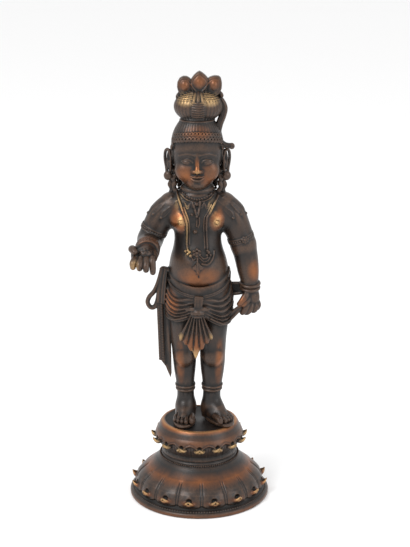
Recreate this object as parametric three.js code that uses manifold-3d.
// A standing bronze deity of the South Indian kind on its double-lotus plinth, cast in bronze, 330 mm tall.
// The figure is one casting with its hair crest, ornaments, skirt and sash. It stands on the plinth by two
// pads under its feet. Units are millimetres, +Z is up, the figure faces -Y, and the origin is the centre
// of the plinth's underside.
import * as THREE from "three";
import { mergeVertices } from "three/addons/utils/BufferGeometryUtils.js";
import Module from "manifold-3d";

const wasm = await Module();
wasm.setup();

// Driving dimensions
const HEIGHT = 330;
const PLINTH_TOP = 60.3;
const GAP = 0.3;
const RIM_RADIUS = 54;
const DISC_RADIUS = 28.6;
const LOWER_PETALS = 16;
const UPPER_PETALS = 15;
const HEAD_X = -1.2;
const ARM_RADIUS = 10.4;
const WRIST_RADIUS = 7;
const FINGER_RADIUS = 2.1;
const PALM_X = -39.6;
const TOE_RADIUS = 2;
const PAD_THICKNESS = 2.4;
const FOLD_DEPTH = 0.8;
const FOLD_SAG = 6;
const SKIRT_FOLDS = 7;
const SKIRT_HEM = 138.5;
const SKIRT_TOP = 170;
const ANKLET_HEIGHT = 87;

const point = (x, y, z) => new THREE.Vector3(x, y, z);
const radians = THREE.MathUtils.degToRad;

// A closed geometry as a solid that can be joined and cut.
function solid(geometry) {
  const bare = geometry.index ? geometry.toNonIndexed() : geometry.clone();
  bare.deleteAttribute("normal");
  bare.deleteAttribute("uv");
  const merged = mergeVertices(bare, 1e-4);
  return new wasm.Manifold(
    new wasm.Mesh({
      numProp: 3,
      vertProperties: merged.attributes.position.array,
      triVerts: new Uint32Array(merged.index.array),
    }),
  );
}

function geometryOf(shape) {
  const mesh = shape.getMesh();
  const position = new THREE.BufferAttribute(new Float32Array(mesh.vertProperties), 3);
  return new THREE.BufferGeometry()
    .setAttribute("position", position)
    .setIndex(new THREE.BufferAttribute(new Uint32Array(mesh.triVerts), 1));
}

const join = (shapes) => shapes.reduce((whole, shape) => whole.add(shape));

// The cast metal fills every space that the joined parts would seal inside it.
const filled = (shape) => join(shape.decompose().filter((shell) => shell.volume() > 0));

// Joins rings of points, each going round the same way, into one closed solid with fanned ends.
function loft(rings) {
  const sides = rings[0].length;
  const positions = rings.flat().flatMap((p) => [p.x, p.y, p.z]);
  const triangles = [];
  for (let ring = 0; ring + 1 < rings.length; ring++)
    for (let side = 0; side < sides; side++) {
      const a = ring * sides + side;
      const b = ring * sides + ((side + 1) % sides);
      triangles.push(a, b, b + sides, a, b + sides, a + sides);
    }
  [rings[0], rings.at(-1)].forEach((ring, end) => {
    const centre = ring.reduce((sum, p) => sum.add(p), point(0, 0, 0)).divideScalar(sides);
    const hub = positions.length / 3;
    const first = end ? (rings.length - 1) * sides : 0;
    positions.push(centre.x, centre.y, centre.z);
    for (let side = 0; side < sides; side++) {
      const a = first + side;
      const b = first + ((side + 1) % sides);
      triangles.push(...(end ? [hub, a, b] : [hub, b, a]));
    }
  });
  const shape = solid(
    new THREE.BufferGeometry()
      .setAttribute("position", new THREE.Float32BufferAttribute(positions, 3))
      .setIndex(triangles),
  );
  return shape.volume() > 0 ? shape : solid(flipped(positions, triangles));
}

function flipped(positions, triangles) {
  const turned = [];
  for (let i = 0; i < triangles.length; i += 3)
    turned.push(triangles[i], triangles[i + 2], triangles[i + 1]);
  return new THREE.BufferGeometry()
    .setAttribute("position", new THREE.Float32BufferAttribute(positions, 3))
    .setIndex(turned);
}

// Level sections of a body part, each [z, centre x, half width, depth in front, depth behind],
// read between its rows by a smooth curve.
function sectionAt(rows, z) {
  const rising = rows[0][0] < rows.at(-1)[0] ? rows : [...rows].reverse();
  let i = rising.findIndex((row) => row[0] > z) - 1;
  if (i < 0) i = z < rising[0][0] ? 0 : rising.length - 2;
  const near = (k) => rising[THREE.MathUtils.clamp(k, 0, rising.length - 1)];
  const t = THREE.MathUtils.clamp((z - near(i)[0]) / (near(i + 1)[0] - near(i)[0]), 0, 1);
  const smooth = (column) => {
    const [p, q, r, s] = [-1, 0, 1, 2].map((k) => near(i + k)[column]);
    return 0.5 * (2 * q + (r - p) * t + (2 * p - 5 * q + 4 * r - s) * t * t + (3 * q - p - 3 * r + s) * t ** 3);
  };
  return { centre: smooth(1), width: smooth(2), front: smooth(3), back: smooth(4) };
}

// A level loft through the rows.
function body(rows, low, high, steps, sides) {
  const rings = [];
  for (let k = 0; k <= steps; k++) {
    const z = low + ((high - low) * k) / steps;
    const cut = sectionAt(rows, z);
    rings.push(
      Array.from({ length: sides }, (_, side) => {
        const angle = (side / sides) * 2 * Math.PI;
        const depth = Math.sin(angle) < 0 ? cut.front : cut.back;
        return point(cut.centre + cut.width * Math.cos(angle), depth * Math.sin(angle), z);
      }),
    );
  }
  return loft(rings);
}

function ball(centre, radii, tilt = [0, 0, 0], segments = [8, 5]) {
  const geometry = new THREE.SphereGeometry(1, ...segments);
  geometry.scale(...radii);
  geometry.applyMatrix4(new THREE.Matrix4().makeRotationFromEuler(new THREE.Euler(...tilt.map(radians))));
  return solid(geometry.translate(...centre));
}

// A round limb through the given points, with a radius at each.
function limb(points, radii, sides = 8, steps = 4) {
  const curve = new THREE.CatmullRomCurve3(points.map((p) => point(...p)));
  const frames = curve.computeFrenetFrames(steps);
  const rings = [];
  for (let k = 0; k <= steps; k++) {
    const t = k / steps;
    const centre = curve.getPoint(t);
    const place = t * (radii.length - 1);
    const i = Math.min(Math.floor(place), radii.length - 2);
    const radius = THREE.MathUtils.lerp(radii[i], radii[i + 1], place - i);
    rings.push(
      Array.from({ length: sides }, (_, side) => {
        const angle = (side / sides) * 2 * Math.PI;
        return centre
          .clone()
          .addScaledVector(frames.normals[k], radius * Math.cos(angle))
          .addScaledVector(frames.binormals[k], radius * Math.sin(angle));
      }),
    );
  }
  return loft(rings);
}

// A finger or toe between two points.
function digit(from, to, radius) {
  const [start, end] = [point(...from), point(...to)];
  const along = end.clone().sub(start);
  const geometry = new THREE.CapsuleGeometry(radius, along.length(), 1, 6);
  const turn = new THREE.Quaternion().setFromUnitVectors(point(0, 1, 0), along.clone().normalize());
  geometry.applyQuaternion(turn);
  const middle = start.add(end).divideScalar(2);
  return solid(geometry.translate(middle.x, middle.y, middle.z));
}

// A flat band through the given points: width lies along `across`, thickness along the other way.
function band(points, width, thickness, across, steps = 8) {
  const curve = new THREE.CatmullRomCurve3(points.map((p) => point(...p)));
  const side = point(...across).normalize();
  const rings = [];
  for (let k = 0; k <= steps; k++) {
    const t = k / steps;
    const centre = curve.getPoint(t);
    const along = curve.getTangent(t);
    const flat = side.clone().addScaledVector(along, -side.dot(along)).normalize();
    const up = new THREE.Vector3().crossVectors(along, flat);
    const corners = [
      [-1, -1],
      [1, -1],
      [1, 1],
      [-1, 1],
    ];
    rings.push(
      corners.map(([u, v]) =>
        centre.clone().addScaledVector(flat, (u * width) / 2).addScaledVector(up, (v * thickness) / 2),
      ),
    );
  }
  return loft(rings);
}

// A flat outline in the XZ plane, thickened along Y about a depth.
function plate(outline, depth, thickness) {
  const shape = new THREE.Shape(outline.map(([x, z]) => new THREE.Vector2(x, z)));
  const geometry = new THREE.ExtrudeGeometry(shape, { depth: thickness, bevelEnabled: false, steps: 1 });
  geometry.rotateX(Math.PI / 2);
  return solid(geometry.translate(0, depth + thickness / 2, 0));
}

// The plinth: a lower lotus with hanging petals, a neck ring, an upper lotus with rising petals, and the disc.
const LOWER_PROFILE = [
  [0, 53.2],
  [1.2, RIM_RADIUS],
  [3.4, RIM_RADIUS],
  [4.6, 52.4],
  [8, 51.4],
  [13, 48.6],
  [18, 45.2],
  [23, 41.4],
  [28, 36.8],
  [31.6, 32.4],
  [32.2, 30.4],
  [33.4, 30.6],
  [34.6, 29.6],
  [35, 28],
];
const UPPER_PROFILE = [
  [34, 27],
  [36.5, 29.2],
  [40, 31.8],
  [44.5, 34.4],
  [47.6, 35],
  [48.6, 33.2],
  [51, 31.4],
  [56.5, 30.4],
  [59.3, 29.8],
  [PLINTH_TOP, DISC_RADIUS],
];
const PETAL_CREASE = 1.4;
const TIP_LENGTH = 4.6;

// Turns a profile of [z, radius] about Z, creased between its petals where the petals lie.
function lotus(profile, petals, first, petalLow, petalHigh) {
  const sides = petals * 3;
  const rings = profile.map(([z, radius]) =>
    Array.from({ length: sides }, (_, side) => {
      const angle = ((side + 0.5) / sides) * 2 * Math.PI + first;
      const inPetal = z > petalLow && z < petalHigh;
      const crease = inPetal && side % 3 === 1 ? PETAL_CREASE : 0;
      return point((radius - crease) * Math.cos(angle), (radius - crease) * Math.sin(angle), z);
    }),
  );
  return loft(rings);
}

// The little hooked tips at the petals' ends, leaning out and turned up by `rise` degrees.
function petalTips(petals, first, radius, z, rise) {
  return Array.from({ length: petals }, (_, petal) => {
    const tip = new THREE.ConeGeometry(2.6, TIP_LENGTH, 4);
    tip.scale(1, 1, 0.6);
    tip.rotateX(Math.PI / 2 - radians(rise));
    tip.rotateZ((petal / petals) * 2 * Math.PI + first + Math.PI / 2 + Math.PI);
    const angle = (petal / petals) * 2 * Math.PI + first;
    return solid(tip.translate(radius * Math.cos(angle), radius * Math.sin(angle), z));
  });
}

function makePlinth() {
  const lowerFirst = radians(-98.9);
  const upperFirst = radians(-89.4);
  const lower = lotus(LOWER_PROFILE, LOWER_PETALS, lowerFirst, 5, 30);
  const upper = lotus(UPPER_PROFILE, UPPER_PETALS, upperFirst, 37, 47);
  return join([
    lower,
    upper,
    ...petalTips(LOWER_PETALS, lowerFirst, 50.6, 10.4, 20),
    ...petalTips(UPPER_PETALS, upperFirst, 35.2, 46.8, 30),
  ]);
}

// The figure's level sections
const TORSO = [
  [158, 0, 23.4, 13, 15],
  [164, 0, 23.8, 15.5, 15.5],
  [170, 0, 23.6, 19, 15.2],
  [178, -0.2, 22.6, 22, 14],
  [185, -0.4, 21.9, 23, 12.6],
  [192, -0.6, 20.3, 21.5, 11.6],
  [199, -0.7, 18.2, 18, 11],
  [206, -0.8, 17.4, 15, 11],
  [213, -0.8, 18.4, 14.2, 11.6],
  [220, -0.9, 20.5, 14.6, 12.4],
  [227, -1, 22.8, 13.8, 12.4],
  [233, -1.1, 21.2, 11.4, 11],
  [237, -1.2, 15.6, 10, 9.8],
  [241, -1.2, 12.4, 9.2, 9.2],
  [252, -1.2, 11, 8.8, 9],
];
const SKIRT = [
  [132.5, 0.4, 22.6, 17.6, 14.6],
  [136, 0.3, 24.2, 18.6, 15.4],
  [142, 0.1, 25.6, 19.6, 16.4],
  [150, 0, 26.2, 20.6, 17.2],
  [158, 0, 26, 21, 17.6],
  [164, 0, 25.8, 20.6, 17.2],
  [170, 0, 25.2, 18, 16.6],
  [176, 0, 24, 14, 15.4],
];
const LEG = [
  [61, 10.4, 6.6, 6, 8],
  [72, 10.6, 6.8, 7.4, 8],
  [80, 10.4, 6.6, 6.6, 7],
  [88, 10.6, 7.2, 7.2, 8],
  [98, 10.6, 8.5, 8.4, 9.6],
  [110, 10.6, 9.5, 10.4, 9.4],
  [125, 11, 10.6, 11.6, 10.8],
  [142, 11.4, 11.2, 12, 12],
];

const mirrored = (rows) => rows.map(([z, centre, ...rest]) => [z, -centre, ...rest]);

// How far the torso's skin stands in front of the centre plane at a point of the chest or belly.
function chestDepth(x, z) {
  const cut = sectionAt(TORSO, z);
  const share = THREE.MathUtils.clamp((x - cut.centre) / cut.width, -0.98, 0.98);
  return -cut.front * Math.sqrt(1 - share * share);
}

// The skirt: rings that lie alternately on a fold's crest and in its groove, and sag on each thigh.
function makeSkirt() {
  const sides = 18;
  const rings = [];
  for (let k = 0; k <= 2 * SKIRT_FOLDS; k++) {
    const share = k / (2 * SKIRT_FOLDS);
    const out = k % 2 ? FOLD_DEPTH : -FOLD_DEPTH;
    const level = THREE.MathUtils.lerp(SKIRT_HEM, SKIRT_TOP, share);
    rings.push(
      Array.from({ length: sides }, (_, side) => {
        const angle = (side / sides) * 2 * Math.PI;
        const front = Math.max(0, -Math.sin(angle));
        const sag = FOLD_SAG * front * (1 - (2 * Math.abs(Math.cos(angle)) - 1) ** 2);
        const z = level - sag * (1 - 0.6 * share);
        const cut = sectionAt(SKIRT, z);
        const depth = Math.sin(angle) < 0 ? cut.front : cut.back;
        return point(cut.centre + (cut.width + out) * Math.cos(angle), (depth + out) * Math.sin(angle), z);
      }),
    );
  }
  return loft(rings);
}

function makeTorsoAndSkirt() {
  const torso = body(TORSO, 158, 252, 12, 12);
  const breasts = [-1, 1].map((side) => ball([-0.3 + side * 12.6, -8.6, 217.5], [7.6, 7, 7.4], [0, 0, 0], [9, 6]));
  const belt = band(
    Array.from({ length: 9 }, (_, k) => {
      const angle = radians(200 + (140 * k) / 8);
      const rise = 11 * Math.abs(Math.cos(angle)) ** 2;
      return [24.6 * Math.cos(angle), 21.6 * Math.sin(angle) + 1, 165.6 + rise];
    }),
    6.5,
    2.4,
    [0, 0, 1],
    16,
  );
  return [torso, makeSkirt(), ...breasts, belt];
}

// The pleated fan that hangs from the belt in front: a stem, a knot and a kite of ridged pleats.
function makeFan() {
  const front = -22.5;
  const pleats = 9;
  const ridges = Array.from({ length: pleats * 2 + 1 }, (_, k) => {
    const u = k / (pleats * 2);
    const x = THREE.MathUtils.lerp(-13.2, 13.2, u);
    const low = THREE.MathUtils.lerp(119.6, 135, Math.abs(2 * u - 1));
    const depth = front - (k % 2 ? 1.2 : 0.3);
    return { x, low, depth };
  });
  const rings = ridges.map(({ x, low, depth }) => {
    const top = 150.5;
    const neck = x * 0.28;
    return [
      point(neck, depth + 0.6, top),
      point(x, depth, low + 0.01),
      point(x, front + 2.6, low + 0.01),
      point(neck, front + 3.4, top),
    ];
  });
  const stem = band(
    [
      [0, -22, 163],
      [0, -23, 157],
      [0, -22.6, 150],
    ],
    7.5,
    3,
    [1, 0, 0],
    4,
  );
  const knot = ball([-0.4, -22.4, 151.6], [6.6, 3, 3.6], [0, 0, 0], [8, 5]);
  return [loft(rings), stem, knot];
}

// One leg with its anklet and foot; `side` is -1 for the figure's right, which is on the left in front view.
function makeLeg(side, turn) {
  const rows = side < 0 ? mirrored(LEG) : LEG;
  const shin = body(rows, 61, 142, 7, 10);
  const ankle = sectionAt(rows, ANKLET_HEIGHT);
  const anklet = solid(
    new THREE.TorusGeometry(ankle.width + 0.2, 1.5, 4, 10).translate(ankle.centre, 0.2, ANKLET_HEIGHT),
  );
  const heel = point(side * 10.2, 8.5, 0);
  const forward = point(Math.sin(radians(turn)) * side, -Math.cos(radians(turn)), 0);
  const across = point(-forward.y * side, forward.x * side, 0);
  const place = (along, out, z) => {
    const p = heel.clone().addScaledVector(forward, along).addScaledVector(across, out);
    return [p.x, p.y, z];
  };
  // The foot's cross sections: distance from the heel, half width, height
  const stations = [
    [-3, 3.6, 6],
    [0, 5.8, 10],
    [6, 6.6, 13],
    [12, 7, 10.6],
    [18, 7.6, 7.6],
    [23, 8, 5.4],
  ];
  const floor = PLINTH_TOP + PAD_THICKNESS - 0.8;
  const foot = loft(
    stations.map(([along, half, height]) =>
      [
        [-1, 0],
        [-1, 0.45],
        [-0.6, 0.85],
        [0, 1],
        [0.6, 0.85],
        [1, 0.45],
        [1, 0],
      ].map(([u, v]) => point(...place(along, u * half, floor + v * height))),
    ),
  );
  const toes = Array.from({ length: 5 }, (_, toe) => {
    const out = -6.4 + toe * 3.3;
    const reach = 27.5 - toe * 1.1 - (toe === 4 ? 0.8 : 0);
    const radius = toe === 0 ? TOE_RADIUS + 0.5 : TOE_RADIUS - 0.12 * toe;
    const z = floor + radius + 0.2;
    return digit(place(20, out * 0.94, z + 0.8), place(reach, out, z), radius);
  });
  const outline = Array.from({ length: 10 }, (_, k) => {
    const angle = (k / 10) * 2 * Math.PI;
    const along = 12.5 - 17.4 * Math.cos(angle);
    const half = 7.4 + 1.6 * (-Math.cos(angle));
    const [x, y] = place(along, half * Math.sin(angle), 0);
    return point(x, y, PLINTH_TOP + GAP);
  });
  const pad = loft([outline, outline.map((p) => p.clone().setZ(PLINTH_TOP + PAD_THICKNESS))]);
  return [shin, anklet, foot, ...toes, pad];
}

// The figure's right arm, held forward with an offering on its palm.
function makeForwardArm() {
  const elbow = [-36.6, 1.5, 201.6];
  const wrist = [-38.6, -27, 201.6];
  const upper = limb([[-23, 1.5, 230], [-30, 2, 217], elbow], [ARM_RADIUS, ARM_RADIUS, 9]);
  const fore = limb([[-36.6, 3, 200.2], [-37.6, -13, 200], wrist], [9.2, 8.6, WRIST_RADIUS]);
  const bend = ball(elbow, [9.3, 9.3, 9.3]);
  const cuff = limb([[-38.3, -22.5, 201.5], [-38.9, -29.5, 201.4]], [8.3, 8.3], 10, 1);
  const palm = ball([PALM_X, -36, 199.6], [8.6, 9.6, 4.6], [-18, 0, 0]);
  const offering = ball([-38.4, -36.4, 204.6], [5.4, 5.4, 3.6], [-12, 0, 0], [8, 5]);
  const fingers = Array.from({ length: 4 }, (_, finger) => {
    const x = -46.4 + finger * 4.5;
    const reach = [-49.5, -51, -50.6, -48.4][finger];
    const knuckle = PALM_X + (x - PALM_X) * 0.7;
    return digit([knuckle, -38, 199], [x - 0.4, reach, 192.4], FINGER_RADIUS);
  });
  const thumb = digit([-45.6, -33, 202], [-48.8, -42, 206], FINGER_RADIUS + 0.3);
  return [upper, fore, bend, cuff, palm, offering, ...fingers, thumb];
}

// The figure's left arm, hanging with the hand at the hip on the sash's end.
function makeHangingArm() {
  const upper = limb(
    [[21.4, 1.5, 230], [28.4, 2, 215], [33, 2, 198]],
    [ARM_RADIUS, ARM_RADIUS, 9.3],
  );
  const fore = limb([[33.4, 2, 199.6], [36.8, 0.4, 182], [38.4, -3.4, 167]], [9.5, 8.4, 6.7]);
  const cuff = limb([[38, -2.4, 170.4], [38.6, -3.8, 165.4]], [7.7, 7.9], 10, 1);
  const palm = ball([38.6, -6, 158.6], [6.8, 5.4, 8.2], [10, 0, 0]);
  const fingers = [
    digit([35.2, -8, 155.5], [33.2, -9.4, 150.6], FINGER_RADIUS + 0.1),
    digit([38.6, -8, 154.5], [37.4, -9, 149.4], FINGER_RADIUS + 0.1),
    digit([41.6, -7.4, 155], [41.8, -8, 150.6], FINGER_RADIUS),
    digit([43.6, -6.4, 156.4], [44.4, -7, 152.6], FINGER_RADIUS - 0.2),
  ];
  const thumb = digit([36.4, -10.4, 163.6], [31.4, -12.8, 156.6], FINGER_RADIUS + 0.4);
  return [upper, fore, cuff, palm, ...fingers, thumb];
}

// Armlets, with a rosette on each, and the locks that fall over the shoulders.
function makeArmOrnaments() {
  const armlets = [
    limb([[-34.2, 2, 209.6], [-35.6, 2, 205.2]], [11.2, 11], 10, 1),
    limb([[31.4, 2, 208.4], [32.5, 2, 203.8]], [10.8, 10.6], 10, 1),
  ];
  const rosettes = [
    ball([-44.9, 1, 207.4], [2.2, 3.4, 3.4], [0, 0, 0], [6, 4]),
    ball([34.4, -8.6, 205], [3.6, 2.2, 3.6], [0, 0, 0], [6, 4]),
    ball([41.8, 1, 207], [2, 3.2, 3.2], [0, 0, 0], [6, 4]),
  ];
  const locks = [-1, 1].map((side) =>
    limb(
      [
        [HEAD_X + side * 20.4, -3.4, 236],
        [HEAD_X + side * 26.4, -5.4, 229.6],
        [HEAD_X + side * 31, -6, 221.6],
      ],
      [3, 3.4, 2],
      6,
      3,
    ),
  );
  return [...armlets, ...rosettes, ...locks];
}

// The long U-shaped necklace with its pendant, and the collar.
function makeNecklaces() {
  const strands = [-1, 1].map((side) => {
    const points = [
      [side * 15.4 - 1.2, 237],
      [side * 10.8 - 0.8, 224],
      [side * 7.8 - 1, 212],
      [side * 7.8 - 1, 198],
      [side * 6 - 0.8, 190.4],
      [-0.6, 188.6],
    ].map(([x, z]) => [x, chestDepth(x, z) - 0.3, z]);
    return limb(points, [1.2, 1.2], 4, 7);
  });
  const pendant = ball([-1.2, chestDepth(-1.2, 184) - 0.6, 180], [4.4, 2, 6], [-8, 0, 0], [6, 4]);
  const collar = solid(new THREE.TorusGeometry(12.2, 1.6, 4, 10).translate(-1.2, -0.2, 239.4));
  return [...strands, pendant, collar];
}

// The head with its ears, earrings, hair bun, leaf crest and the tail of hair at its left side.
function makeHead() {
  const cap = ball([HEAD_X, 1.6, 272], [18.3, 17.4, 24.6], [0, 0, 0], [12, 8]);
  const face = ball([HEAD_X, -3.6, 264], [16.6, 14.4, 19], [0, 0, 0], [10, 7]);
  const nose = limb(
    [
      [HEAD_X, -17.6, 268],
      [HEAD_X, -19.6, 259.4],
    ],
    [1.2, 2.2],
    5,
    1,
  );
  const ears = [-1, 1].flatMap((side) => [
    ball([HEAD_X + side * 20.2, 2.4, 265.4], [3.4, 4, 8], [0, side * 4, 0], [6, 5]),
    ball([HEAD_X + side * 21, 2, 254], [3.4, 3.6, 5], [0, 0, 0], [6, 5]),
  ]);
  const sideHair = [-1, 1].map((side) =>
    limb(
      [
        [HEAD_X + side * 14, 8, 262],
        [HEAD_X + side * 19, 6, 248],
        [HEAD_X + side * 18.6, 3, 238],
      ],
      [4, 4.6, 4.2],
      6,
      3,
    ),
  );
  const backHair = ball([HEAD_X, 9, 254], [15.6, 8.4, 23], [-6, 0, 0], [8, 6]);
  const bun = ball([-0.4, 0.6, 304.2], [18.1, 13.2, 12.6], [0, 0, 0], [12, 8]);
  const knot = band(
    [
      [-0.9, -12.2, 297],
      [-0.8, -13.6, 305],
      [-0.6, -9.6, 313.6],
      [-0.6, 0, 316.8],
    ],
    5.6,
    2.6,
    [1, 0, 0],
    5,
  );
  const tail = limb(
    [
      [12.4, 0, 312],
      [18.4, 0.6, 305],
      [17, 1, 295],
      [14, 1.4, 286],
      [14.6, 1.6, 279],
      [18.6, 1.2, 275],
      [24.6, 0.6, 274.4],
    ],
    [2.2, 2.8, 2.8, 2.6, 2.2],
    6,
    8,
  );
  return [cap, face, nose, ...ears, ...sideHair, backHair, bun, knot, tail];
}

function makeCrest() {
  const leaf = [
    [0.4, HEIGHT],
    [5.4, 326.4],
    [7, 321.4],
    [4.4, 314],
    [-4.4, 314],
    [-6, 321],
    [-4.4, 325.6],
  ];
  const leftLobe = [
    [-4, 324],
    [-9.6, 326],
    [-14, 323.4],
    [-15.2, 318.6],
    [-14.6, 314.4],
    [-15.8, 311.6],
    [-13.2, 310.4],
    [-4, 311.4],
  ];
  const rightLobe = leftLobe.map(([x, z]) => [0.9 - x, z + 0.6]).reverse();
  return [plate(leaf, -2.4, 6), plate(leftLobe, -0.4, 7), plate(rightLobe, -0.4, 7)];
}

// The sash: its upright bow and hanging end at the right hip, its drop loop, and its ties at the left hip.
function makeSash() {
  const bow = band(
    [
      [-26, -2, 180.4],
      [-27.6, -2, 170],
      [-28.4, -2, 158],
      [-27.8, -1.4, 146],
    ],
    6.8,
    5.4,
    [1, -0.3, 0.1],
    6,
  );
  const hangingEnd = plate(
    [
      [-31.8, 154],
      [-31.2, 124],
      [-30.6, 112.4],
      [-26.4, 105.6],
      [-22.2, 93.2],
      [-21.8, 112],
      [-22.6, 134],
      [-23, 154],
    ],
    -0.6,
    4.6,
  );
  const loop = limb(
    [
      [-29.4, -1, 168],
      [-33.4, -1, 161],
      [-38.2, -1, 155.6],
      [-39, -1, 150.8],
      [-36.4, -1, 149],
      [-33.6, -1, 151.4],
      [-31.4, -1, 157],
      [-29, -1, 160],
    ],
    [1.7, 1.7],
    4,
    11,
  );
  const hipTie = band(
    [
      [22, 1, 160.6],
      [28.4, 0.6, 161.4],
      [36, -1, 162.4],
    ],
    6.2,
    4.4,
    [0, 0, 1],
    4,
  );
  const tieEnd = limb(
    [
      [22, -4, 144],
      [27.6, -8, 150.2],
      [34.2, -11.2, 155.4],
    ],
    [2.4, 2.2],
    6,
    3,
  );
  return [bow, hangingEnd, loop, hipTie, tieEnd];
}

const bronze = () => new THREE.MeshStandardMaterial({ color: 0x3a2a20, roughness: 0.38, metalness: 0.9 });

function piece(name, shape) {
  const mesh = new THREE.Mesh(geometryOf(shape), bronze());
  mesh.name = name;
  return mesh;
}

const castParts = [
  ...makeTorsoAndSkirt(),
  ...makeFan(),
  ...makeLeg(-1, 10),
  ...makeLeg(1, 24),
  ...makeForwardArm(),
  ...makeHangingArm(),
  ...makeArmOrnaments(),
  ...makeNecklaces(),
  ...makeHead(),
  ...makeCrest(),
  ...makeSash(),
];
const figure = filled(join(castParts));

const statue = new THREE.Group();
statue.add(piece("lotus_plinth", makePlinth()), piece("figure", figure));
export default statue;
